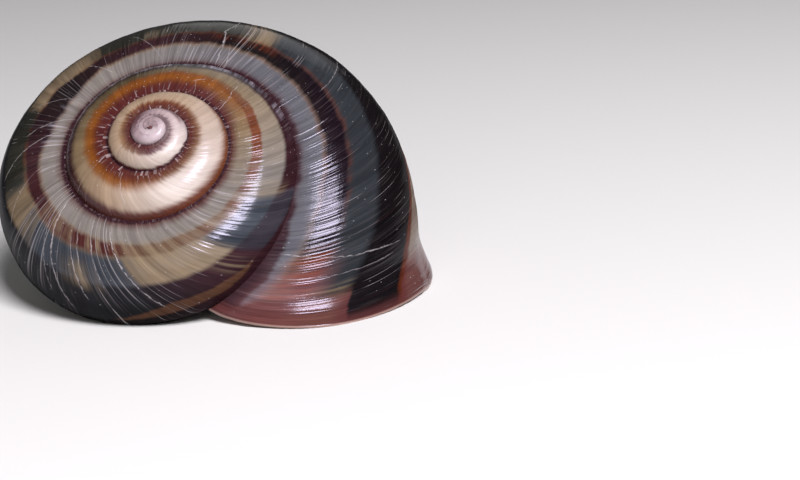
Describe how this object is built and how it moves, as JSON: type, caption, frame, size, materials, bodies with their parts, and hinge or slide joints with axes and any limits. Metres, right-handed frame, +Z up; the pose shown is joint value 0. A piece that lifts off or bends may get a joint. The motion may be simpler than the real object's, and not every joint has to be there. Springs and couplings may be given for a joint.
{
  "type": "land snail shell",
  "caption": "Empty banded land snail shell, a low right-handed spiral with a thin flared lip, lying mouth down.",
  "frame": {"origin": "on the ground, under the centre of the shell's box", "axes": "+X along the longest way across, from the coil's first side to the outer lip, +Z up, with the mouth down and the spire towards -Y and +Z"},
  "size_m": [0.0324, 0.0252, 0.0189],
  "materials": {
    "shell": "glossy, brown, black, grey and cream spiral bands over fine growth lines, with pale scars"
  },
  "bodies": {
    "root": {"shell": "shell"}
  },
  "joints": []
}
